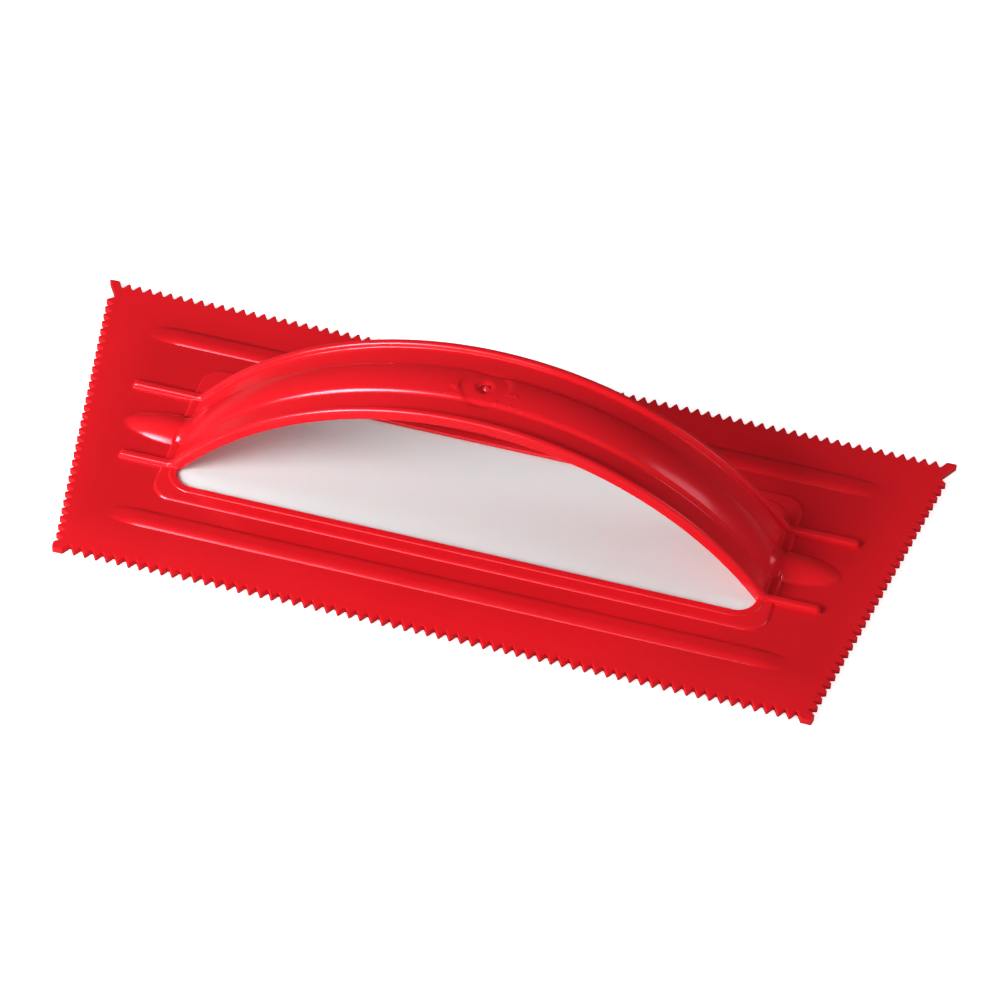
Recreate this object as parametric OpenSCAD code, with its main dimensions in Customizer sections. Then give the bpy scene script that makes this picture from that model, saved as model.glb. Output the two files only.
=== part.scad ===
// Moulded plastic notched trowel: a toothed blade, an arched handle and a panel that closes the window.
// Millimetres. +X runs along the long toothed edges, +Y towards the longer of the two, +Z up.
// The origin is on the flat underside, at the middle of the blade.

/* [Blade] */
// Length of the longer toothed edge, at +Y
long_edge = 254; // [244:1:264]
// Length of the shorter toothed edge, at -Y
short_edge = 215.6; // [208:1:222]
// Distance between the two long edges
blade_depth = 107.7; // [100:1:116]
// Thickness of the blade
blade_t = 2.1; // [1.8:0.1:3]

/* [Notches] */
// Distance from one tooth tip to the next, an eighth of an inch
pitch = 3.175; // [3.1:0.025:3.2]
// Full angle of each V notch, in degrees
notch_angle = 60; // [55:1:70]
// Teeth along the longer edge, an odd number
long_teeth = 77; // [71:2:77]
// Teeth along the shorter edge, an odd number
short_teeth = 65; // [59:2:65]
// Teeth along each slanted side
side_teeth = 31; // [27:1:31]
// First tip on a side, measured from the shorter edge's corner
side_first_tip = 5.4; // [5:0.2:7]

/* [Pad and window] */
// Length of the raised pad that the handle stands on
pad_l = 177.4; // [176:0.2:182]
// Width of the raised pad
pad_w = 54; // [50:1:58]
// Height of the pad above the blade
pad_h = 0.6; // [0.4:0.1:1.2]
// Corner radius of the pad
pad_r = 6; // [4:0.5:8]
// Length of the window
window_l = 167.4; // [160:0.2:168]
// Width of the window
window_w = 42; // [36:1:44]
// Corner radius of the window
window_r = 5.5; // [3:0.5:6]
// Width of the rim round the window
rim_w = 2.2; // [1:0.1:2.6]
// Height of the rim above the blade
rim_h = 0.9; // [0.8:0.1:1.4]

/* [Ribs and bosses] */
// Distance of the rib beside the longer edge from the middle
back_rib_y = 36.5; // [35:0.1:40]
// Distance of the rib beside the shorter edge from the middle
front_rib_y = 35.9; // [35:0.1:40]
// Width of a long rib
long_rib_w = 6.6; // [4:0.1:7]
// Height of a long rib
long_rib_h = 1.1; // [1:0.1:2.4]
// Length of a long rib's tapered end
long_rib_taper = 9; // [8:1:25]
// Half length of the rib beside the longer edge
back_rib_reach = 110; // [100:1:112]
// Half length of the rib beside the shorter edge
front_rib_reach = 98.5; // [90:0.5:100]
// Distance of each short rib from the middle
short_rib_y = 13.9; // [13:0.1:15]
// Width of a short rib
short_rib_w = 2.3; // [2:0.1:3]
// Height of a short rib above the blade
short_rib_h = 1.6; // [1.5:0.1:2]
// How far the short ribs nearer the longer edge reach from the middle
back_short_rib_reach = 106.5; // [98:0.5:108]
// How far the short ribs nearer the shorter edge reach from the middle
front_short_rib_reach = 101.5; // [96:0.5:104]
// Width of an end boss where it leaves the pad
boss_w = 12.4; // [10:0.2:14]
// Height of an end boss where it leaves the pad
boss_h = 3.1; // [2.5:0.1:4.5]
// How far the end bosses reach from the middle
boss_reach = 104.3; // [98:0.1:108]

/* [Handle] */
// Height of the handle's crown above the underside
handle_top = 46.1; // [40:0.5:52]
// Radius of the handle's outer face
handle_r = 109; // [106:0.5:112]
// Width of the handle
handle_w = 30; // [28:1:32]
// Height of the handle's side walls
handle_side_h = 3.5; // [3:0.25:5]
// Thickness of the handle in its two valleys
handle_valley_t = 2; // [1.6:0.2:2.4]
// Width of the lip along each side of the handle
handle_lip_w = 2.4; // [2:0.1:4]
// Rounding of the lip's outer corners
handle_lip_r = 1.1; // [0.6:0.1:1.4]
// Width of the bead along the middle of the handle
handle_bead_w = 12; // [8:1:14]
// Width of the groove under the bead
handle_groove_w = 8; // [4:1:9]
// Depth of the groove under the bead
handle_groove_d = 1.3; // [0.6:0.1:1.6]

/* [Window panel] */
// Top of the panel above the underside
panel_top = 2; // [1.6:0.1:2.4]
// Thickness of the flange that sits in the blade's rebate
flange_t = 1; // [0.8:0.1:1.2]
// Width of that flange
flange_w = 2; // [1:0.25:3]
// Gap all round between the panel and the blade
panel_gap = 0.1; // [0.05:0.05:0.3]

/* [Hidden] */
$fn = 96;

red = [0.80, 0.06, 0.09];
white = [0.90, 0.88, 0.87];
through = 1;
pad_top = blade_t + pad_h;
rim_top = blade_t + rim_h;
notch_depth = pitch / 2 / tan(notch_angle / 2);
side_run = [(long_edge - short_edge) / 2, blade_depth];
arch_z = handle_top - handle_r;
arch_inner_r = handle_r - handle_side_h;
foot_x = sqrt(handle_r * handle_r - (pad_top - arch_z) * (pad_top - arch_z));
root_x = foot_x - handle_side_h;

// ---- blade ----

// Points of a row of teeth as [distance along the edge, distance into the blade]: root, tip, root ...
function tooth_row(first_tip, count) = [
    for (i = [0 : count - 1])
        each [[first_tip + (i - 0.5) * pitch, notch_depth], [first_tip + i * pitch, 0]],
    [first_tip + (count - 0.5) * pitch, notch_depth]
];

// Those points laid along the edge that runs from corner in the direction of step, the blade on its left
function along(corner, step, points) =
    let (u = step / norm(step))
    [for (p = points) corner + p.x * u + p.y * [-u.y, u.x]];

// A full half of the outline at +X, from the middle of the shorter edge to the middle of the longer one
function half_outline() =
    let (
        short_tips = (short_teeth - 1) / 2,
        long_tips = (long_teeth - 1) / 2,
        short_corner = [short_edge / 2, -blade_depth / 2],
        long_corner = [long_edge / 2, blade_depth / 2],
        short_row = tooth_row(pitch, short_tips),
        side_row = tooth_row(side_first_tip, side_teeth),
        long_row = tooth_row(long_edge / 2 - long_tips * pitch, long_tips)
    )
    concat(
        along([0, -blade_depth / 2], [1, 0], [[0, 0]]),
        along([0, -blade_depth / 2], [1, 0], short_row),
        along([0, -blade_depth / 2], [1, 0], [[(short_tips + 1) * pitch, 0]]),
        [short_corner],
        along(short_corner, side_run, [[side_first_tip - pitch, 0]]),
        along(short_corner, side_run, side_row),
        [long_corner],
        along(long_corner, [-1, 0], [[long_edge / 2 - (long_tips + 1) * pitch, 0]]),
        along(long_corner, [-1, 0], long_row),
        [[0, blade_depth / 2]]
    );

function mirrored(points) = [for (i = [len(points) - 2 : -1 : 1]) [-points[i].x, points[i].y]];

module rounded_rect(l, w, r) {
    square([l - 2 * r, w], center = true);
    square([l, w - 2 * r], center = true);
    for (x = [-1, 1], y = [-1, 1])
        translate([x * (l / 2 - r), y * (w / 2 - r)]) circle(r);
}

module slab(l, w, r, z0, z1) {
    translate([0, 0, z0]) linear_extrude(z1 - z0) rounded_rect(l, w, r);
}

// Keeps only what lies above the middle of the blade's thickness, so that nothing shows below the blade
module above_blade_middle() {
    intersection() {
        children();
        translate([-long_edge / 2, -blade_depth / 2, blade_t / 2]) cube([long_edge, blade_depth, handle_top]);
    }
}

// A round bar along X that is sunk in the blade until only a strip w wide and h high stands out.
// Its radius falls to the sunken depth over each tapered end, so the strip ends in a point.
module spindle(reach, w, h, taper) {
    bar_r = (w * w / 4 + h * h) / (2 * h);
    sunk = bar_r - h;
    above_blade_middle()
        translate([0, 0, blade_t - sunk]) rotate([0, 90, 0])
            rotate_extrude() polygon([
                [0, -reach], [sunk, -reach], [bar_r, taper - reach],
                [bar_r, reach - taper], [sunk, reach], [0, reach]
            ]);
}

// A bar with a round top and a round end, from the handle's foot out onto the blade
module short_rib(reach) {
    r = short_rib_w / 2;
    l = reach - r - root_x;
    above_blade_middle() translate([root_x, 0, blade_t + short_rib_h - r]) {
        rotate([0, 90, 0]) cylinder(h = l, r = r);
        translate([l, 0, 0]) sphere(r);
        translate([0, -r, -blade_t]) cube([l, short_rib_w, blade_t]);
        translate([l, 0, -blade_t]) cylinder(h = blade_t, r = r);
    }
}

// Half a bullet that carries the handle's bead out onto the blade
module end_boss() {
    bar_r = (boss_w * boss_w / 4 + boss_h * boss_h) / (2 * boss_h);
    sunk = bar_r - boss_h;
    l = boss_reach - root_x;
    nose_r = (l * l + boss_h * boss_h) / (2 * boss_h);
    above_blade_middle()
        translate([root_x, 0, blade_t - sunk]) rotate([0, 90, 0])
            rotate_extrude() intersection() {
                translate([bar_r - nose_r, 0]) circle(nose_r, $fn = 360);
                square([bar_r, l]);
            }
}

module blade() {
    color(red) difference() {
        union() {
            linear_extrude(blade_t) polygon(concat(half_outline(), mirrored(half_outline())));
            slab(pad_l, pad_w, pad_r, blade_t / 2, pad_top);
            slab(window_l + 2 * rim_w, window_w + 2 * rim_w, window_r + rim_w, blade_t / 2, rim_top);
            translate([0, back_rib_y, 0]) spindle(back_rib_reach, long_rib_w, long_rib_h, long_rib_taper);
            translate([0, -front_rib_y, 0]) spindle(front_rib_reach, long_rib_w, long_rib_h, long_rib_taper);
            for (side = [0, 1]) mirror([side, 0, 0]) {
                translate([0, short_rib_y, 0]) short_rib(back_short_rib_reach);
                translate([0, -short_rib_y, 0]) short_rib(front_short_rib_reach);
                end_boss();
            }
        }
        slab(window_l, window_w, window_r, -through, rim_top + through);
        slab(window_l + 2 * flange_w, window_w + 2 * flange_w, window_r + flange_w, -through, flange_t);
        arch();
    }
}

// ---- handle ----

// The handle's section, as [distance from the arch's axis, distance from the middle of its width]
module handle_section() {
    bead_rise = handle_side_h - handle_valley_t;
    bead_r = (handle_bead_w * handle_bead_w / 4 + bead_rise * bead_rise) / (2 * bead_rise);
    difference() {
        union() {
            translate([arch_inner_r, -handle_w / 2]) square([handle_valley_t, handle_w]);
            intersection() {
                translate([handle_r - bead_r, 0]) circle(bead_r);
                translate([arch_inner_r, -handle_bead_w / 2]) square([handle_side_h, handle_bead_w]);
            }
            for (side = [-1, 1]) translate([arch_inner_r, side * (handle_w - handle_lip_w) / 2]) lip();
        }
        for (side = [0, 1]) mirror([0, side])
            translate([arch_inner_r, -handle_groove_w / 2 + handle_groove_d]) groove_half();
    }
}

module lip() {
    translate([0, -handle_lip_w / 2]) square([handle_side_h - handle_lip_r, handle_lip_w]);
    translate([0, handle_lip_r - handle_lip_w / 2])
        square([handle_side_h, handle_lip_w - 2 * handle_lip_r]);
    for (side = [-1, 1])
        translate([handle_side_h - handle_lip_r, side * (handle_lip_w / 2 - handle_lip_r)])
            circle(handle_lip_r);
}

// Half of the groove under the bead, with a round outer corner
module groove_half() {
    circle(handle_groove_d);
    translate([-through, 0]) square([handle_groove_d + through, handle_groove_w / 2 - handle_groove_d]);
}

// The arch down to the top of the pad, where its feet stand
module arch() {
    intersection() {
        translate([0, 0, arch_z]) rotate([90, 0, 0]) rotate_extrude($fn = 180) handle_section();
        translate([-handle_r, -handle_w, pad_top]) cube([2 * handle_r, 2 * handle_w, handle_top]);
    }
}

module handle() {
    color(red) arch();
}

// ---- panel ----

module window_panel() {
    gap = 2 * panel_gap;
    color(white) union() {
        slab(window_l - gap, window_w - gap, window_r - panel_gap, 0, panel_top);
        slab(window_l + 2 * flange_w - gap, window_w + 2 * flange_w - gap,
             window_r + flange_w - panel_gap, 0, flange_t - panel_gap);
    }
}

blade();
handle();
window_panel();
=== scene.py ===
"""Looks of the moulded notched trowel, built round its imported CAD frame.

Two pieces are made here: the red moulding, one closed mesh with real fillets, and the pale window panel.
The shape code works in millimetres in the row frame, and meshes are written in metres.
"""

import math

import bmesh
import bpy
import numpy as np
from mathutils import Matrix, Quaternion, Vector
from mathutils.geometry import delaunay_2d_cdt


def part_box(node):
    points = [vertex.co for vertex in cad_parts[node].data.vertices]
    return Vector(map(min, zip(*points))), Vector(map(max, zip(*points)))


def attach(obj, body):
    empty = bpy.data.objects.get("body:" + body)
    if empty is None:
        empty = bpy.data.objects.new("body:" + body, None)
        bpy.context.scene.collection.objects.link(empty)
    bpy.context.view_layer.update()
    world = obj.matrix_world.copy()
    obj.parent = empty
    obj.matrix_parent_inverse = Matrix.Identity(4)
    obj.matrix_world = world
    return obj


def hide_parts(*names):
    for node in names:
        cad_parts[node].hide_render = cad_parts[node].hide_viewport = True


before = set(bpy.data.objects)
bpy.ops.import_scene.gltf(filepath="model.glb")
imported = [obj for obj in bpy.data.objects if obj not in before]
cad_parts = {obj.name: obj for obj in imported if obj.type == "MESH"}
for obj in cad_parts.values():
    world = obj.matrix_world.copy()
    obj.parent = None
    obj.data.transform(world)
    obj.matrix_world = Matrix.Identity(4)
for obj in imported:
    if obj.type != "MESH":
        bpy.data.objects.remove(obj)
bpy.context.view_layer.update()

MM = 0.001
# A CAD point this near z = 0, in millimetres, is on the underside
FLAT_TOL = 0.01


def highest_corner(node):
    """Highest corner of a CAD node's box, in millimetres."""
    return np.array(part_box(node)[1]) / MM


HANDLE_HIGH = highest_corner("handle")
PANEL_HIGH = highest_corner("window_panel")

# ---- the object's dimensions, in millimetres ----

BLADE_T = 2.1
TIP_R = 0.35
EDGE_R = 0.12
EDGE_SUPPORT = 0.30

PAD_HALF = (88.7, 27.0)
PAD_R = 6.0
PAD_H = 0.6
RIM_H = 0.9
RIM_W = 2.2
RIM_LIP_R = 0.15
EDGE_SLOPE = math.radians(62)
WINDOW_HALF = (83.7, 21.0)
WINDOW_R = 5.5

FLANGE_W = 2.0
FLANGE_T = 1.0
PANEL_GAP = 0.1
# The panel's upright edge stands this far out into the gap, so that the joint shows as a hairline
PANEL_EDGE_OUT = 0.07
PIN_MARK_PLACE = (74.0, 16.2)
PIN_MARK_R = 3.9
PIN_MARK_W = 0.10
# Room between the panel's top and the handle's foot
FOOT_CLEAR = 0.03

BACK_RIB_Y = 36.5
FRONT_RIB_Y = -35.9
LONG_RIB_W = 6.6
LONG_RIB_H = 1.1
LONG_RIB_TAPER = 12.0
LONG_RIB_FULLNESS = 3.5
BACK_RIB_REACH = 110.0
FRONT_RIB_REACH = 98.5
SHORT_RIB_Y = 13.9
SHORT_RIB_W = 2.3
SHORT_RIB_H = 1.6
SHORT_RIB_R = 0.7
SHORT_RIB_END_R = 1.4
SHORT_RIB_BLEND = 0.2
BACK_SHORT_RIB_REACH = 106.5
FRONT_SHORT_RIB_REACH = 101.5
BOSS_W = 12.4
BOSS_H = 3.1
BOSS_REACH = 104.3
BOSS_BLEND = 0.4
# On the pad the boss is narrower by this much, over this length
BOSS_PAD_STEP = 1.8
BOSS_PAD_STEP_RUN = 1.2
# Below the sheet a bar's side falls away at this slope
SUNK_SLOPE = 0.6

HANDLE_R = 109.0
HANDLE_TOP = HANDLE_HIGH[2]
ARCH_Z = HANDLE_TOP - HANDLE_R
HANDLE_HALF_W = HANDLE_HIGH[1]
SIDE_H = 3.5
VALLEY_T = 2.0
LIP_W = 2.2
LIP_R = 0.95
BEAD_W = 12.0
BEAD_CROWN_R = 22.0
BEAD_SHOULDER_R = 1.3
GROOVE_W = 8.0
GROOVE_D = 1.3
SECTION_BLEND = 0.5
UNDER_EDGE_R = 0.3
GROOVE_EDGE_R = 0.5
FOOT_BLEND = 0.7
BEAD_FOOT_BLEND = 1.8

GATE_REACH = 14.0
GATE_DISH_R = 6.6
GATE_DISH_DEPTH = 0.40
GATE_DISH_EDGE = 0.30
GATE_HOLE_R = 2.3
GATE_HOLE_DEPTH = 0.75
GATE_PIP_R = 0.75
GATE_PIP_H = 0.90
GATE_LUMP_H = 0.18
GATE_PIP_PLACE = (0.4, 0.1)
GATE_LUMP_RADII = (0.26, 0.42)
GATE_LUMP_RISES = (0.14, 0.30)
# Middle, spread and number of the small lumps round the gate mark
GATE_LUMPS = (
    ((-7.4, -1.6), (0.8, 1.1), 14),
    ((8.4, -1.0), (0.9, 0.35), 5),
    ((1, -4), (5, 2), 8),
)

# Half size of the flat-edged block that carries the pad, the handle and the bosses. The long ribs have
# blocks of their own, which end RIB_MARGIN beyond the rib, and the rest of the blade is plain sheet.
CENTRE_BLOCK = (107.6, 28.5)
RIB_MARGIN = 1.5
# Above LOW_TOP only the handle's strip has to be worked out. SLAB is the number of grid rows done at once.
LOW_TOP = 3.8
SLAB = 48


# ---- outlines ----


def underside_loops(obj):
    """Closed outlines of a node's flat underside, counter-clockwise, the longest first, in millimetres."""
    mesh = obj.data
    mesh.calc_loop_triangles()
    points = np.array([v.co for v in mesh.vertices]) / MM
    keys = [tuple(np.round(p[:2], 3)) for p in points]
    sides = set()
    for triangle in mesh.loop_triangles:
        corners = list(triangle.vertices)
        if max(points[c][2] for c in corners) > FLAT_TOL:
            continue
        names = [keys[c] for c in corners]
        for a, b in zip(names, names[1:] + names[:1]):
            if (b, a) in sides:
                sides.remove((b, a))
            elif a != b:
                sides.add((a, b))
    after = dict(sides)
    loops = []
    while after:
        start = next(iter(sorted(after)))
        loop = [start]
        point = after.pop(start)
        while point != start:
            loop.append(point)
            point = after.pop(point)
        loops.append(counter_clockwise(straightened(np.array(loop))))
    return sorted(loops, key=lambda loop: -np.ptp(loop[:, 0]))


def counter_clockwise(loop):
    x, y = loop[:, 0], loop[:, 1]
    area = np.sum(x * np.roll(y, -1) - np.roll(x, -1) * y)
    return loop if area > 0 else loop[::-1]


def turns(loop):
    """Signed turning angle at each point, with the unit directions in and out."""
    before = loop - np.roll(loop, 1, axis=0)
    after = np.roll(loop, -1, axis=0) - loop
    before_length = np.linalg.norm(before, axis=1)
    after_length = np.linalg.norm(after, axis=1)
    u = before / before_length[:, None]
    v = after / after_length[:, None]
    angle = np.arctan2(u[:, 0] * v[:, 1] - u[:, 1] * v[:, 0], np.sum(u * v, axis=1))
    return angle, u, v, np.minimum(before_length, after_length)


def straightened(loop):
    """The loop without points that lie on a straight run."""
    angle = turns(loop)[0]
    return loop[np.abs(angle) > 1e-3]


def rounded(loop, radius, steps=4):
    """The loop with each corner replaced by an arc of that radius."""
    angle, u, _, room = turns(loop)
    points = []
    for p, turn, a, space in zip(loop, angle, u, room):
        cut = min(radius * math.tan(abs(turn) / 2), 0.45 * space)
        r = math.copysign(cut / math.tan(abs(turn) / 2), turn)
        start = p - a * cut
        centre = start + r * np.array([-a[1], a[0]])
        for i in range(steps + 1):
            along = turn * i / steps
            arm = start - centre
            c, s = math.cos(along), math.sin(along)
            points.append(centre + np.array([c * arm[0] - s * arm[1], s * arm[0] + c * arm[1]]))
    return np.array(points)


def inset(loop, distance):
    """The loop moved inwards by a distance that is small next to its curves."""
    angle, u, v, _ = turns(loop)
    normal = np.stack([-(u[:, 1] + v[:, 1]), u[:, 0] + v[:, 0]], axis=1)
    normal /= np.linalg.norm(normal, axis=1)[:, None]
    return loop + normal * (distance / np.cos(angle / 2))[:, None]


def inside_edges(points, starts, ends):
    """Which points are inside an outline and not in a hole: a ray along +X meets an odd number of edges."""
    inside = np.zeros(len(points), bool)
    for a, b in zip(starts, ends):
        if a[1] == b[1]:
            continue
        spans = (points[:, 1] >= min(a[1], b[1])) & (points[:, 1] < max(a[1], b[1]))
        cross_x = a[0] + (points[:, 1] - a[1]) * (b[0] - a[0]) / (b[1] - a[1])
        inside ^= spans & (cross_x > points[:, 0])
    return inside


def round_rectangle(half, radius, steps=16):
    """Points of a rectangle with round corners, counter-clockwise."""
    turn = np.linspace(0, math.pi / 2, steps + 1)
    arc = radius * np.column_stack([np.cos(turn), np.sin(turn)])
    centre = np.array(half) - radius
    quarter = centre + arc
    left = quarter[::-1] * (-1, 1)
    return np.concatenate([quarter, left, -quarter, -left])


def round_box_distance(x, y, half, radius):
    """Distance to the outline of a rectangle with round corners, negative inside."""
    dx = np.abs(x) - (half[0] - radius)
    dy = np.abs(y) - (half[1] - radius)
    outside = np.hypot(np.maximum(dx, 0), np.maximum(dy, 0))
    return outside + np.minimum(np.maximum(dx, dy), 0) - radius


# ---- relief: height of the upper face over the blade ----


def smooth_step(t):
    t = np.clip(t, 0, 1)
    return t * t * (3 - 2 * t)


def smooth_max(a, b, blend):
    h = np.clip(0.5 + 0.5 * (a - b) / blend, 0, 1)
    return b + (a - b) * h + blend * h * (1 - h)


def low_step(distance, height):
    """A step inside an outline, where distance is negative; its round edge meets the sheet at EDGE_SLOPE."""
    radius = height / (1 - math.cos(EDGE_SLOPE))
    short = radius * math.sin(EDGE_SLOPE) + np.minimum(distance, 0)
    rise = np.sqrt(radius * radius - np.maximum(short, 0) ** 2) - (radius - height)
    return np.where(distance < 0, rise, 0)


def sunk_bar(width, height):
    """Radius and sunken depth of a round bar of which a strip of that width and height stands out."""
    radius = (width * width / 4 + height * height) / (2 * height)
    return radius, radius - height


def bar_height(radius, sunk, y):
    """Height of a sunken round bar's surface; it runs on below the sheet, so that it can be blended."""
    inside = np.maximum(radius * radius - y * y, 0)
    return np.sqrt(inside) - sunk - SUNK_SLOPE * np.maximum(np.abs(y) - radius, 0)


def long_rib_height(x, y, reach):
    """A low rounded rib along X that fades out and narrows at its ends."""
    t = np.clip((reach - np.abs(x)) / LONG_RIB_TAPER, 1e-6, 1)
    half = LONG_RIB_W / 2 * np.sqrt(1 - (1 - t) ** 3)
    return LONG_RIB_H * smooth_step(t) * np.maximum(1 - np.abs(y / half) ** LONG_RIB_FULLNESS, 0)


def boss_height(x, y):
    """A half dome, oval in plan, that carries the handle's bead out onto the blade."""
    root = PAD_HALF[0]
    along = np.clip((np.abs(x) - root) / (BOSS_REACH - root), 0, 1)
    on_pad = smooth_step((root - np.abs(x)) / BOSS_PAD_STEP_RUN)
    width = np.maximum(BOSS_W * np.sqrt(1 - along * along) - BOSS_PAD_STEP * on_pad, 0.6)
    height = np.maximum(BOSS_H * (1 - along * along), 0.05)
    past = np.maximum(np.abs(x) - BOSS_REACH, 0)
    return bar_height(*sunk_bar(width, height), y) - past


def centre_relief(x, y):
    """Height of the pad, its rim and the end bosses above the blade's upper face."""
    pad = low_step(round_box_distance(x, y, PAD_HALF, PAD_R), PAD_H)
    rim_half = (WINDOW_HALF[0] + RIM_W, WINDOW_HALF[1] + RIM_W)
    height = pad + low_step(round_box_distance(x, y, rim_half, WINDOW_R + RIM_W), RIM_H - PAD_H)
    beside_handle = np.abs(x) > WINDOW_HALF[0]
    return np.where(beside_handle, smooth_max(height, boss_height(x, y), BOSS_BLEND), height)


# ---- the solid as a field: negative inside, positive outside ----


def round_union(a, b, radius):
    u = np.maximum(radius - a, 0)
    v = np.maximum(radius - b, 0)
    return np.maximum(radius, np.minimum(a, b)) - np.hypot(u, v)


def round_cut(a, b, radius):
    """a and b at once, with the edge between them rounded."""
    u = np.maximum(radius + a, 0)
    v = np.maximum(radius + b, 0)
    return np.minimum(-radius, np.maximum(a, b)) + np.hypot(u, v)


def round_bar(beside, above, radius):
    """Distance to a bar with rounded corners, given the distances beyond its side and beyond its top."""
    u = beside + radius
    v = above + radius
    return np.hypot(np.maximum(u, 0), np.maximum(v, 0)) + np.minimum(np.maximum(u, v), 0) - radius


def section_field(rho, y):
    """The handle's section: rho is the distance from the arch's axis, y the place across its width."""
    inner = HANDLE_R - SIDE_H
    out = rho - inner
    across = np.abs(y)
    floor = np.maximum(out - VALLEY_T, across - HANDLE_HALF_W + LIP_W / 2)
    lip = round_bar(np.abs(across - (HANDLE_HALF_W - LIP_W / 2)) - LIP_W / 2, out - SIDE_H, LIP_R)
    crown = out - SIDE_H + y * y / (2 * BEAD_CROWN_R)
    bead = round_bar(across - BEAD_W / 2, crown, BEAD_SHOULDER_R)
    top = round_union(round_union(floor, bead, SECTION_BLEND), lip, SECTION_BLEND)
    body = round_cut(top, -out, UNDER_EDGE_R)
    groove_x = across - (GROOVE_W / 2 - GROOVE_D)
    groove = np.hypot(np.maximum(groove_x, 0), np.maximum(out, 0)) - GROOVE_D
    return round_cut(body, -groove, GROOVE_EDGE_R)


def short_rib_field(x, y, z, side, reach):
    """A square-shouldered bar that runs out from the handle's foot, with a round end."""
    profile = round_bar(np.abs(x) - reach, z - (BLADE_T + SHORT_RIB_H), SHORT_RIB_END_R)
    beside = np.abs(y - side * SHORT_RIB_Y) - SHORT_RIB_W / 2
    root = WINDOW_HALF[0] + 0.5
    return np.maximum(round_cut(profile, beside, SHORT_RIB_R), root - np.abs(x))


def gate_scar(x, y):
    """Height of the mark that the moulding's gate left: a shallow dish, a hole with a pip, and lumps."""
    angle = np.arctan2(y, x)
    wobble = 1 + 0.05 * np.sin(2 * angle + 0.6) + 0.04 * np.sin(3 * angle)
    r = np.hypot(x, y)
    dish = -GATE_DISH_DEPTH / (1 + np.exp((r / wobble - GATE_DISH_R) / GATE_DISH_EDGE))
    hole = -GATE_HOLE_DEPTH * np.exp(-((r / GATE_HOLE_R) ** 4))
    from_pip = np.hypot(x - GATE_PIP_PLACE[0], y - GATE_PIP_PLACE[1])
    pip = GATE_PIP_H * np.exp(-((from_pip / GATE_PIP_R) ** 2))
    lumps = np.zeros_like(r)
    random = np.random.default_rng(7)
    for centre, spread, count in GATE_LUMPS:
        for _ in range(count):
            lump_x, lump_y = random.normal(centre, spread)
            radius = random.uniform(*GATE_LUMP_RADII)
            rise = random.uniform(*GATE_LUMP_RISES)
            lumps = lumps + rise * np.exp(-(((x - lump_x) ** 2 + (y - lump_y) ** 2) / radius**2))
    return dish + hole + pip + np.minimum(lumps, GATE_LUMP_H)


def gate_mark(x, y, z):
    """How far the surface sinks or rises at the crown, where the moulding's gate was."""
    x, y = np.broadcast_arrays(x, y)
    near = np.abs(x) < GATE_REACH
    scar = np.zeros(x.shape)
    scar[near] = gate_scar(x[near], y[near])
    return np.where(z > HANDLE_TOP - 5, scar, 0.0)


def centre_field(x, y, z):
    """The moulding inside the centre block: sheet, relief, window, rebate and handle."""
    top = z - (BLADE_T + centre_relief(x, y))
    window = round_box_distance(x, y, WINDOW_HALF, WINDOW_R)
    for side, reach in ((1, BACK_SHORT_RIB_REACH), (-1, FRONT_SHORT_RIB_REACH)):
        top = round_union(top, short_rib_field(x, y, z, side, reach), SHORT_RIB_BLEND)
    body = round_cut(top, -window, RIM_LIP_R)
    body = np.maximum(body, -z)
    rebate_half = (WINDOW_HALF[0] + FLANGE_W, WINDOW_HALF[1] + FLANGE_W)
    rebate = round_box_distance(x, y, rebate_half, WINDOW_R + FLANGE_W)
    body = np.maximum(body, -np.maximum(rebate, z - FLANGE_T))
    rho = np.hypot(x, z - ARCH_Z)
    handle = section_field(rho, y) - gate_mark(x, y, z)
    handle = np.maximum(handle, PANEL_HIGH[2] + FOOT_CLEAR - z)
    on_boss = smooth_step((BOSS_W / 2 - np.abs(y)) / 2) * smooth_step(np.abs(x) - WINDOW_HALF[0])
    whole = round_union(body, handle, FOOT_BLEND + (BEAD_FOOT_BLEND - FOOT_BLEND) * on_boss)
    # The fillet at the foot must not run into the panel, so the panel's room is cut out once more
    whole = np.maximum(whole, -np.maximum(window, z - PANEL_HIGH[2] - FOOT_CLEAR))
    return np.maximum(whole, -np.maximum(rebate, z - FLANGE_T))


# ---- surface of a field ----


def stretched(stops):
    """Grid lines between the stops, given as (from, to, step) runs that follow each other."""
    lines = [np.linspace(a, b, max(1, round((b - a) / step)) + 1) for a, b, step in stops]
    return np.unique(np.round(np.concatenate(lines), 6))


def mirrored_lines(stops):
    half = stretched(stops)
    return np.unique(np.concatenate([-half, half]))


def sampled(field, xs, ys, zs):
    """The field on the grid, a slab at a time; above LOW_TOP only in the strip that holds the handle."""
    values = np.ones((len(xs), len(ys), len(zs)), np.float32)
    high = np.searchsorted(zs, LOW_TOP)
    strip = slice(*np.searchsorted(ys, (-HANDLE_HALF_W - 1, HANDLE_HALF_W + 1)))
    for start in range(0, len(xs), SLAB):
        slab = slice(start, start + SLAB)
        x = xs[slab, None, None]
        values[slab, :, :high] = field(x, ys[None, :, None], zs[None, None, :high])
        values[slab, strip, high:] = field(x, ys[None, strip, None], zs[None, None, high:])
    return values


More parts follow.
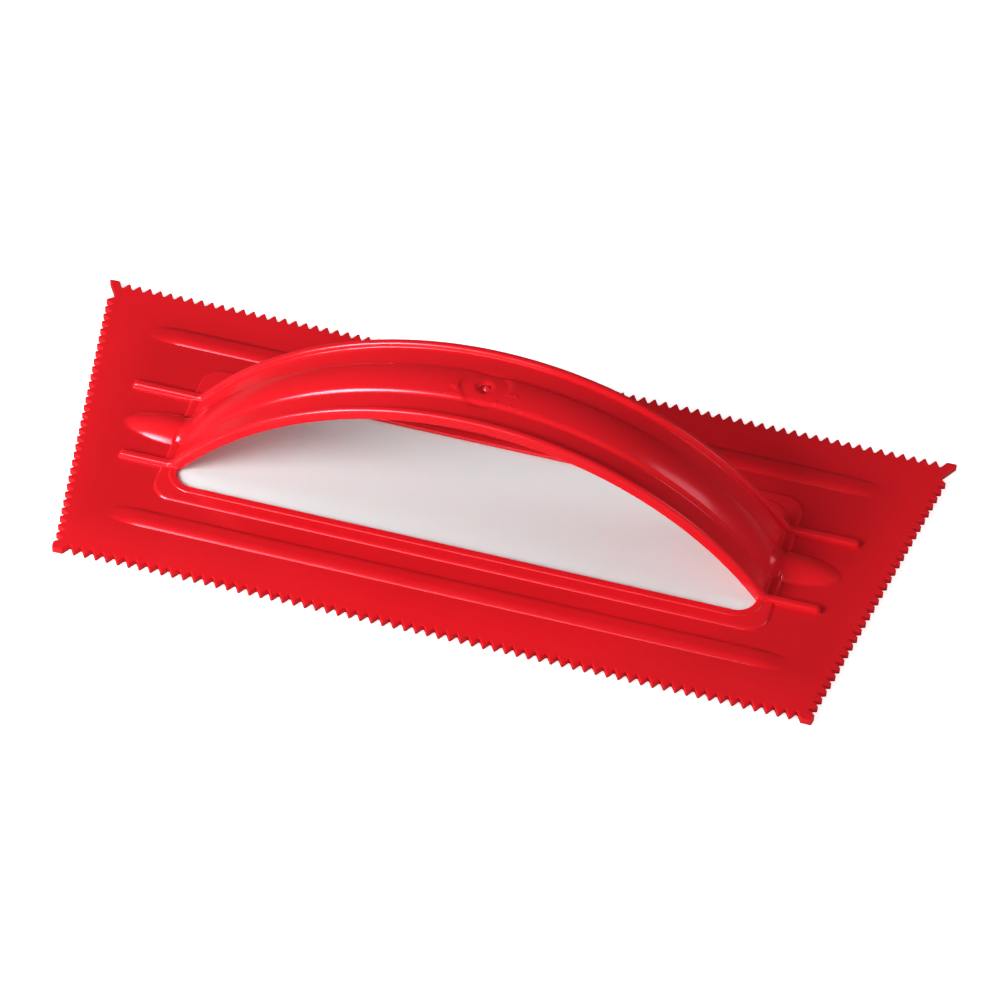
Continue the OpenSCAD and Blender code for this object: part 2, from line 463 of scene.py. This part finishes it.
def surface_net(field, xs, ys, zs):
    """Vertices and quads of the surface where the field is zero, one vertex in each cell that it crosses."""
    values = sampled(field, xs, ys, zs)
    inside = values < 0
    lines = (xs, ys, zs)
    cells = tuple(n - 1 for n in values.shape)
    total = np.zeros((3,) + cells, np.float32)
    count = np.zeros(cells, np.int16)
    crossings = []
    for axis in range(3):
        low = tuple(slice(None, -1) if k == axis else slice(None) for k in range(3))
        high = tuple(slice(1, None) if k == axis else slice(None) for k in range(3))
        where = np.argwhere(inside[low] != inside[high])
        a = values[low][tuple(where.T)]
        b = values[high][tuple(where.T)]
        place = [lines[k][where[:, k]] for k in range(3)]
        step = np.diff(lines[axis])[where[:, axis]]
        place[axis] = place[axis] + step * (a / (a - b))
        others = [k for k in range(3) if k != axis]
        for shift_a in (0, 1):
            for shift_b in (0, 1):
                cell = where.copy()
                cell[:, others[0]] -= shift_a
                cell[:, others[1]] -= shift_b
                valid = np.all((cell >= 0) & (cell < np.array(cells)), axis=1)
                at = tuple(cell[valid].T)
                np.add.at(count, at, 1)
                for k in range(3):
                    np.add.at(total[k], at, place[k][valid])
        crossings.append((axis, others, where, a < 0))
    used = count > 0
    index = np.full(cells, -1, np.int64)
    index[used] = np.arange(used.sum())
    points = np.stack([total[k][used] / count[used] for k in range(3)], axis=1).astype(float)
    quads = []
    for axis, others, where, starts_inside in crossings:
        limit = np.array([cells[others[0]], cells[others[1]]])
        inner = np.all((where[:, others] >= 1) & (where[:, others] < limit), axis=1)
        where, starts_inside = where[inner], starts_inside[inner]
        ring = []
        for shift_a, shift_b in ((1, 1), (0, 1), (0, 0), (1, 0)):
            cell = where.copy()
            cell[:, others[0]] -= shift_a
            cell[:, others[1]] -= shift_b
            ring.append(index[tuple(cell.T)])
        ring = np.stack(ring, axis=1)
        flip = starts_inside if axis == 1 else ~starts_inside
        ring[flip] = ring[flip][:, ::-1]
        quads.append(ring)
    for k, line in enumerate((xs, ys)):
        cell_of = np.argwhere(used)[:, k]
        points[cell_of == 0, k] = line[0]
        points[cell_of == cells[k] - 1, k] = line[-1]
    return points, np.concatenate(quads)


def settled(field, points, rounds=3, reach=0.35):
    """The points moved onto the zero surface, except those on the block's flat outer edge."""
    step = 0.01
    half = np.array(CENTRE_BLOCK)
    free = np.all(np.abs(points[:, :2]) < half - 1e-6, axis=1)
    moved = points[free]
    start = moved.copy()
    for _ in range(rounds):
        value = field(*moved.T)
        slope = np.stack(
            [
                (field(*(moved + offset).T) - field(*(moved - offset).T)) / (2 * step)
                for offset in np.eye(3) * step
            ],
            axis=1,
        )
        size = np.maximum(np.sum(slope * slope, axis=1), 0.05)
        moved = moved - slope * (value / size)[:, None]
    drift = moved - start
    far = np.linalg.norm(drift, axis=1)
    moved = start + drift * np.minimum(1, reach / np.maximum(far, 1e-9))[:, None]
    points = points.copy()
    points[free] = moved
    return points


def flat_quads(points, quads, levels):
    """Quads on a level face whose neighbours are all level too, which larger triangles can stand for."""
    z = points[quads][:, :, 2]
    level = np.zeros(len(quads), bool)
    for height in levels:
        level |= np.all(np.abs(z - height) < 1e-4, axis=1)
    shaped = np.unique(quads[~level])
    return level & ~np.isin(quads, shaped).any(axis=1)


def open_edges(faces):
    """Edges that only one face has, as pairs of vertex numbers."""
    corners = faces.shape[1]
    pairs = [np.stack([faces[:, k], faces[:, (k + 1) % corners]], 1) for k in range(corners)]
    sides = np.concatenate(pairs)
    ordered = np.sort(sides, axis=1)
    _, first, times = np.unique(ordered, axis=0, return_index=True, return_counts=True)
    return ordered[first[times == 1]]


# ---- assembling closed meshes ----


class Sheet:
    """Vertices and faces of one mesh, filled step by step."""

    def __init__(self):
        self.points = []
        self.faces = []

    def add(self, points):
        start = len(self.points)
        self.points.extend(map(tuple, points))
        return list(range(start, start + len(points)))

    def bridge(self, lower, upper):
        """Quads between two rings with the same number of points."""
        n = len(lower)
        for i in range(n):
            j = (i + 1) % n
            self.faces.append((lower[i], lower[j], upper[j], upper[i]))

    def ring_stack(self, loop, levels):
        """Rings of the loop, each moved inwards and set at a height, joined from first to last."""
        rings = []
        for distance, z in levels:
            flat = inset(loop, distance)
            rings.append(self.add(np.column_stack([flat, np.full(len(flat), z)])))
        for lower, upper in zip(rings, rings[1:]):
            self.bridge(lower, upper)
        return rings[0], rings[-1]

    def fill(self, edges, upwards):
        """Triangles over a flat region, given the edges round it and round its holes."""
        names = sorted({v for edge in edges for v in edge})
        place = {v: i for i, v in enumerate(names)}
        flat = [Vector(self.points[v][:2]) for v in names]
        local = [(place[a], place[b]) for a, b in edges]
        out, _, triangles, origin, _, _ = delaunay_2d_cdt(flat, local, [], 0, 1e-7, True)
        corners = np.array(out)[np.array(triangles)]
        ends = np.array(flat)[np.array(local)]
        kept = inside_edges(corners.mean(axis=1), ends[:, 0], ends[:, 1])
        for triangle in np.array(triangles)[kept]:
            numbers = [names[origin[i][0]] for i in triangle]
            self.faces.append(tuple(numbers if upwards else numbers[::-1]))

    def to_object(self, name, sharp_angle):
        mesh = bpy.data.meshes.new(name)
        mesh.from_pydata([tuple(c * MM for c in p) for p in self.points], [], self.faces)
        bm = bmesh.new()
        bm.from_mesh(mesh)
        bmesh.ops.remove_doubles(bm, verts=bm.verts, dist=1e-7)
        bmesh.ops.recalc_face_normals(bm, faces=bm.faces)
        bm.to_mesh(mesh)
        bm.free()
        mesh.validate()
        mesh.shade_smooth()
        mesh.set_sharp_from_angle(angle=math.radians(sharp_angle))
        obj = bpy.data.objects.new(name, mesh)
        bpy.context.scene.collection.objects.link(obj)
        return obj


def loop_edges(ring):
    return list(zip(ring, ring[1:] + ring[:1]))


def add_rib_block(sheet, centre_y, reach):
    """A rectangle of the blade's upper face that carries one long rib. Returns its edges."""
    half_x = reach + RIB_MARGIN
    half_w = LONG_RIB_W / 2
    xs = mirrored_lines([(0, reach - LONG_RIB_TAPER, 4.0), (reach - LONG_RIB_TAPER, half_x, 0.4)])
    near, far = half_w - 0.8, half_w + 0.2
    ys = mirrored_lines([(0, near, 0.3), (near, far, 0.1), (far, half_w + 1, 0.2)])
    gx, gy = np.meshgrid(xs, ys, indexing="ij")
    rise = long_rib_height(gx, gy, reach)
    grid = np.array(sheet.add(np.stack([gx, gy + centre_y, BLADE_T + rise], axis=-1).reshape(-1, 3)))
    grid = grid.reshape(gx.shape)
    for i in range(len(xs) - 1):
        for j in range(len(ys) - 1):
            sheet.faces.append((grid[i, j], grid[i + 1, j], grid[i + 1, j + 1], grid[i, j + 1]))
    border = [*grid[:, 0], *grid[-1, 1:], *grid[-2::-1, -1], *grid[0, -2:0:-1]]
    return loop_edges(border)


def block_lines():
    """Grid lines of the centre block, closer where the relief has its edges."""
    half_x, half_y = CENTRE_BLOCK
    xs = [(0, 9, 0.2), (9, 78, 0.8), (78, 89.3, 0.14), (89.3, 98, 0.3), (98, half_x, 0.2)]
    ys = [(0, 4.4, 0.3), (4.4, 6.6, 0.15), (6.6, 12, 0.3), (12, 16.4, 0.14), (16.4, 20.2, 0.2)]
    ys += [(20.2, 23.2, 0.12), (23.2, 25.4, 0.25), (25.4, 27.6, 0.12), (27.6, half_y, 0.3)]
    zs = [(-0.6, 1.7, 0.3), (1.7, 3.9, 0.15), (3.9, HANDLE_TOP + 1.2, 0.4)]
    return mirrored_lines(xs), mirrored_lines(ys), stretched(zs)


def make_moulding():
    """The whole red moulding as one closed mesh."""
    sheet = Sheet()
    outline = rounded(underside_loops(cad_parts["blade"])[0], TIP_R)
    levels = [
        (EDGE_SUPPORT, 0.0),
        (EDGE_R, 0.0),
        (0.3 * EDGE_R, 0.3 * EDGE_R),
        (0.0, EDGE_R),
        (0.0, BLADE_T - EDGE_R),
        (0.3 * EDGE_R, BLADE_T - 0.3 * EDGE_R),
        (EDGE_R, BLADE_T),
        (EDGE_SUPPORT, BLADE_T),
    ]
    bottom_ring, top_ring = sheet.ring_stack(outline, levels)

    points, quads = surface_net(centre_field, *block_lines())
    points = settled(centre_field, points)
    flats = (0.0, BLADE_T, BLADE_T + PAD_H)
    quads = quads[~flat_quads(points, quads, flats)]
    kept, quads = np.unique(quads, return_inverse=True)
    points, quads = points[kept], quads.reshape(-1, 4)
    numbers = np.array(sheet.add(points))
    sheet.faces.extend(map(tuple, numbers[quads]))
    rims = open_edges(quads)
    rim_z = points[rims[:, 0], 2]
    level_rims = [numbers[rims[np.abs(rim_z - z) < 1e-3]] for z in flats]
    floor_rim, blade_rim, pad_rim = ([tuple(edge) for edge in rim] for rim in level_rims)

    back_edges = add_rib_block(sheet, BACK_RIB_Y, BACK_RIB_REACH)
    front_edges = add_rib_block(sheet, FRONT_RIB_Y, FRONT_RIB_REACH)
    sheet.fill(loop_edges(top_ring) + blade_rim + back_edges + front_edges, upwards=True)
    sheet.fill(pad_rim, upwards=True)
    sheet.fill(loop_edges(bottom_ring) + floor_rim, upwards=False)
    return sheet.to_object("moulding", sharp_angle=40)


def make_panel():
    """The pale panel in the window, with its flange below the rim and the rings that ejector pins leave."""
    sheet = Sheet()
    flange = round_rectangle(PANEL_HIGH[:2], WINDOW_R + FLANGE_W - PANEL_GAP)
    top = PANEL_HIGH[2]
    step = FLANGE_T - PANEL_GAP
    levels = [
        (0.4, 0.0),
        (0.1, 0.0),
        (0.0, 0.1),
        (0.0, step - 0.1),
        (0.1, step),
        (FLANGE_W - 0.2, step),
        (FLANGE_W - PANEL_EDGE_OUT, step + 0.1),
        (FLANGE_W - PANEL_EDGE_OUT, top - 0.1),
        (FLANGE_W - 0.04, top - 0.03),
        (FLANGE_W + 0.03, top),
        (FLANGE_W + 0.4, top),
    ]
    bottom_ring, top_ring = sheet.ring_stack(flange, levels)
    edges = loop_edges(top_ring)
    marks = [(sx * PIN_MARK_PLACE[0], sy * PIN_MARK_PLACE[1]) for sx in (-1, 1) for sy in (-1, 1)]
    turn = np.linspace(0, 2 * math.pi, 65)[:-1]
    outer_r = PIN_MARK_R + PIN_MARK_W
    groove = [(-0.15, 0), (0, 0), (0.6, 0.02), (1, 0.03), (1.4, 0.02), (2, 0), (3.5, 0)]
    groove_levels = [(across * PIN_MARK_W, top - deep) for across, deep in groove]
    for cx, cy in marks:
        circle = np.column_stack([cx + outer_r * np.cos(turn), cy + outer_r * np.sin(turn)])
        outer, inner = sheet.ring_stack(circle, groove_levels)
        edges += loop_edges(outer) + loop_edges(inner)

    sheet.fill(edges, upwards=True)
    sheet.fill(loop_edges(bottom_ring), upwards=False)
    return sheet.to_object("window_insert", sharp_angle=40)


# ---- materials ----


class Nodes:
    """A material's node tree, with short calls to add nodes and join them."""

    def __init__(self, name):
        self.material = bpy.data.materials.new(name)
        self.material.use_nodes = True
        self.tree = self.material.node_tree
        self.shader = self.tree.nodes["Principled BSDF"]

    def add(self, kind, **values):
        node = self.tree.nodes.new(kind)
        for key, value in values.items():
            if key in node.inputs.keys():
                node.inputs[key].default_value = value
            else:
                setattr(node, key, value)
        return node

    def join(self, output, target):
        self.tree.links.new(output, target)

    def position(self, scale=(1, 1, 1)):
        """The place on the object in metres, so that a pattern's scale is counted per metre."""
        coordinates = self.add("ShaderNodeTexCoord")
        mapping = self.add("ShaderNodeMapping", Scale=scale)
        self.join(coordinates.outputs["Object"], mapping.inputs["Vector"])
        return mapping.outputs["Vector"]

    def noise(self, vector, scale, detail=3.0, roughness=0.5):
        node = self.add("ShaderNodeTexNoise", Scale=scale, Detail=detail, Roughness=roughness)
        self.join(vector, node.inputs["Vector"])
        return node.outputs["Fac"]

    def map_range(self, value, low, high, to_low, to_high):
        node = self.add("ShaderNodeMapRange")
        for key, number in (("From Min", low), ("From Max", high), ("To Min", to_low), ("To Max", to_high)):
            node.inputs[key].default_value = number
        self.join(value, node.inputs["Value"])
        return node.outputs["Result"]

    def mix(self, factor, a, b, blend="MIX"):
        node = self.add("ShaderNodeMix", data_type="RGBA", blend_type=blend)
        for socket, value in ((node.inputs[0], factor), (node.inputs[6], a), (node.inputs[7], b)):
            if isinstance(value, bpy.types.NodeSocket):
                self.join(value, socket)
            else:
                socket.default_value = value
        return node.outputs[2]

    def math(self, operation, a, b=0.0):
        node = self.add("ShaderNodeMath", operation=operation)
        for socket, value in zip(node.inputs, (a, b)):
            if isinstance(value, bpy.types.NodeSocket):
                self.join(value, socket)
            else:
                socket.default_value = value
        return node.outputs[0]

    def bump(self, height, strength, distance, under=None):
        node = self.add("ShaderNodeBump", Strength=strength, Distance=distance)
        self.join(height, node.inputs["Height"])
        if under is not None:
            self.join(under, node.inputs["Normal"])
        return node.outputs["Normal"]


# The painted shade on the blade's inner sheet fades out over these heights and distances, in millimetres
PAINTED_SHADE_TOP = (2.2, 2.6)
PAINTED_SHADE_PAD_SIDE = (28, 31)
PAINTED_SHADE_ENDS = (104, 117)
PAINTED_SHADE_ROWS = (37, 48)


def painted_sheet_shade(n):
    """Mask for painted shade: 1 on the plain sheet and its long ribs, 0 on the blade's edges and on all that
    is raised further.
    """
    parts = n.add("ShaderNodeSeparateXYZ")
    n.join(n.position(), parts.inputs[0])
    from_middle_x = n.math("ABSOLUTE", parts.outputs["X"])
    from_middle_y = n.math("ABSOLUTE", parts.outputs["Y"])
    low = n.map_range(parts.outputs["Z"], PAINTED_SHADE_TOP[0] * MM, PAINTED_SHADE_TOP[1] * MM, 1, 0)
    beyond_pad = n.map_range(from_middle_y, PAINTED_SHADE_PAD_SIDE[0] * MM, PAINTED_SHADE_PAD_SIDE[1] * MM, 0, 1)
    plain = n.math("MAXIMUM", low, beyond_pad)
    between_sides = n.map_range(from_middle_x, PAINTED_SHADE_ENDS[0] * MM, PAINTED_SHADE_ENDS[1] * MM, 1, 0)
    between_rows = n.map_range(from_middle_y, PAINTED_SHADE_ROWS[0] * MM, PAINTED_SHADE_ROWS[1] * MM, 1, 0)
    return n.math("MULTIPLY", plain, n.math("MULTIPLY", between_sides, between_rows))


def red_plastic():
    """Glossy moulded red plastic: faint cloudy colour, flow lines, hairline scuffs and tiny pale specks,
    with painted shade that darkens the blade's inner sheet.
    """
    n = Nodes("moulded_red")
    place = n.position()
    cloud = n.noise(place, 28.0, detail=4.0)
    colour = n.mix(n.map_range(cloud, 0.35, 0.65, 0, 1), (0.77, 0.0115, 0.018, 1), (0.81, 0.0125, 0.020, 1))
    speck = n.add("ShaderNodeTexVoronoi", Scale=210.0, Randomness=1.0)
    n.join(place, speck.inputs["Vector"])
    near = n.map_range(speck.outputs["Distance"], 0.04, 0.08, 1, 0)
    rare = n.map_range(speck.outputs["Color"], 0.88, 0.91, 0, 1)
    speckle = n.math("MULTIPLY", near, rare)
    colour = n.mix(n.math("MULTIPLY", speckle, 0.30), colour, (0.9, 0.30, 0.34, 1))
    # Painted shade: the plain inner sheet and its long ribs are darkened to 87 %, so the blade's edges and
    # the raised parts read lighter
    colour = n.mix(painted_sheet_shade(n), colour, (0.87, 0.87, 0.87, 1), blend="MULTIPLY")
    n.join(colour, n.shader.inputs["Base Color"])
    haze = n.noise(place, 75.0, detail=5.0)
    n.join(n.map_range(haze, 0.35, 0.70, 0.16, 0.22), n.shader.inputs["Roughness"])
    flow = n.noise(n.position(scale=(0.3, 1.0, 1.0)), 160.0, detail=2.0)
    gentle = n.bump(flow, 0.10, 0.00006)
    scuff = n.noise(n.position(scale=(1.0, 0.06, 1.0)), 1500.0, detail=2.0)
    scratched = n.bump(n.map_range(scuff, 0.60, 0.72, 0, 1), 0.10, 0.00002, under=gentle)
    n.join(scratched, n.shader.inputs["Normal"])
    n.shader.inputs["Subsurface Weight"].default_value = 0.08
    n.shader.inputs["Subsurface Radius"].default_value = (1.0, 0.12, 0.10)
    n.shader.inputs["Subsurface Scale"].default_value = 0.0010
    n.shader.inputs["IOR"].default_value = 1.49
    n.shader.inputs["Specular IOR Level"].default_value = 1.0
    n.shader.inputs["Specular Tint"].default_value = (1.0, 0.40, 0.50, 1)
    return n.material


def white_plastic():
    """Milky white plastic, a little translucent, with a soft gloss and fine drag marks."""
    n = Nodes("milky_white")
    place = n.position()
    cloud = n.noise(place, 18.0, detail=3.0)
    colour = n.mix(n.map_range(cloud, 0.35, 0.65, 0, 1), (0.85, 0.955, 0.96, 1), (0.865, 0.965, 0.97, 1))
    n.join(colour, n.shader.inputs["Base Color"])
    drag = n.noise(n.position(scale=(0.05, 1.0, 1.0)), 700.0, detail=2.0)
    n.join(n.map_range(drag, 0.3, 0.7, 0.34, 0.42), n.shader.inputs["Roughness"])
    n.join(n.bump(drag, 0.05, 0.00005), n.shader.inputs["Normal"])
    n.shader.inputs["Subsurface Weight"].default_value = 0.4
    n.shader.inputs["Subsurface Radius"].default_value = (1.0, 0.8, 0.75)
    n.shader.inputs["Subsurface Scale"].default_value = 0.003
    return n.material


# ---- stage, lights and camera ----

TARGET = Vector((0.00553, 0.00295, 0.0))
CAMERA_AZIMUTH = 12.54
CAMERA_ELEVATION = 45.70
CAMERA_ROLL = 3.57
CAMERA_DISTANCE = 1.2854
CAMERA_LENS = 164.3
LIGHT_DISTANCE = 0.65
FLOOR_HALF = 3.0
FLOOR_DROP = 0.02 * MM
# The floor's grey and glow: to the camera, in reflections, and as light that falls on the object
FLOOR_SEEN = (0.95, 0.95, 0.95, 1)
FLOOR_MIRRORED = (0.12, 0.12, 0.12, 1)
FLOOR_UNSEEN = (0.38, 0.38, 0.38, 1)
FLOOR_GLOW_SEEN = 0.66
FLOOR_GLOW_UNSEEN = 0.05
WORLD_STRENGTH = 0.04


def towards(azimuth, elevation):
    """Unit vector from the object to a viewer at that azimuth and elevation, in degrees."""
    a, e = math.radians(azimuth), math.radians(elevation)
    return Vector((math.sin(a) * math.cos(e), -math.cos(a) * math.cos(e), math.sin(e)))


def make_camera():
    data = bpy.data.cameras.new("camera")
    data.lens = CAMERA_LENS
    data.sensor_width = 36.0
    camera = bpy.data.objects.new("camera", data)
    bpy.context.scene.collection.objects.link(camera)
    back = towards(CAMERA_AZIMUTH, CAMERA_ELEVATION)
    camera.location = TARGET + back * CAMERA_DISTANCE
    turn = (-back).to_track_quat("-Z", "Y")
    camera.rotation_mode = "QUATERNION"
    roll = Quaternion((0, 0, 1), math.radians(CAMERA_ROLL))
    camera.rotation_quaternion = turn @ roll
    data.clip_start = 0.05
    data.clip_end = 20.0
    bpy.context.scene.camera = camera


def area_light(name, azimuth, elevation, size, power, diffuse=True, glossy=True):
    """A soft panel light facing the object. Without diffuse it only shines, without glossy only fills."""
    data = bpy.data.lights.new(name, "AREA")
    data.shape = "RECTANGLE"
    data.size, data.size_y = size
    data.energy = power
    light = bpy.data.objects.new(name, data)
    bpy.context.scene.collection.objects.link(light)
    back = towards(azimuth, elevation)
    light.location = back * LIGHT_DISTANCE
    light.rotation_mode = "QUATERNION"
    light.rotation_quaternion = (-back).to_track_quat("-Z", "Y")
    light.visible_diffuse = diffuse
    light.visible_glossy = glossy


def make_floor():
    mesh = bpy.data.meshes.new("floor")
    half = FLOOR_HALF
    corners = [(-half, -half, 0), (half, -half, 0), (half, half, 0), (-half, half, 0)]
    mesh.from_pydata(corners, [], [(0, 1, 2, 3)])
    floor = bpy.data.objects.new("floor", mesh)
    floor.location.z = -FLOOR_DROP
    bpy.context.scene.collection.objects.link(floor)
    n = Nodes("floor")
    light_path = n.add("ShaderNodeLightPath")
    seen = light_path.outputs["Is Camera Ray"]
    mirrored = light_path.outputs["Is Glossy Ray"]
    unseen = n.mix(mirrored, FLOOR_UNSEEN, FLOOR_MIRRORED)
    n.join(n.mix(seen, unseen, FLOOR_SEEN), n.shader.inputs["Base Color"])
    n.shader.inputs["Roughness"].default_value = 0.9
    n.shader.inputs["Emission Color"].default_value = (1, 1, 1, 1)
    glow = n.map_range(seen, 0, 1, FLOOR_GLOW_UNSEEN, FLOOR_GLOW_SEEN)
    n.join(glow, n.shader.inputs["Emission Strength"])
    mesh.materials.append(n.material)


def make_world():
    world = bpy.data.worlds.new("studio")
    world.use_nodes = True
    background = world.node_tree.nodes["Background"]
    background.inputs["Color"].default_value = (1, 1, 1, 1)
    background.inputs["Strength"].default_value = WORLD_STRENGTH
    bpy.context.scene.world = world
    bpy.context.scene.view_settings.view_transform = "Standard"


make_camera()
make_world()
make_floor()
area_light("key", azimuth=-47, elevation=30.5, size=(0.30, 0.24), power=4.55)
area_light("front_key", azimuth=-15, elevation=28, size=(0.32, 0.24), power=0.9)
area_light("key_sheen", azimuth=-38, elevation=33, size=(0.32, 0.28), power=1.6, diffuse=False)
area_light("right_sheen", azimuth=112, elevation=35, size=(0.20, 0.20), power=0.28, diffuse=False)
area_light("right_fill", azimuth=105, elevation=28, size=(0.34, 0.30), power=1.15, glossy=False)
area_light("low_fill", azimuth=50, elevation=12, size=(0.34, 0.20), power=0.70, glossy=False)
area_light("left_fill", azimuth=-90, elevation=38, size=(0.24, 0.24), power=0.70, glossy=False)

moulding = make_moulding()
moulding.data.materials.append(red_plastic())
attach(moulding, "root")
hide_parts("blade", "handle")

panel = make_panel()
panel.data.materials.append(white_plastic())
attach(panel, "root")
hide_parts("window_panel")

bpy.context.view_layer.update()
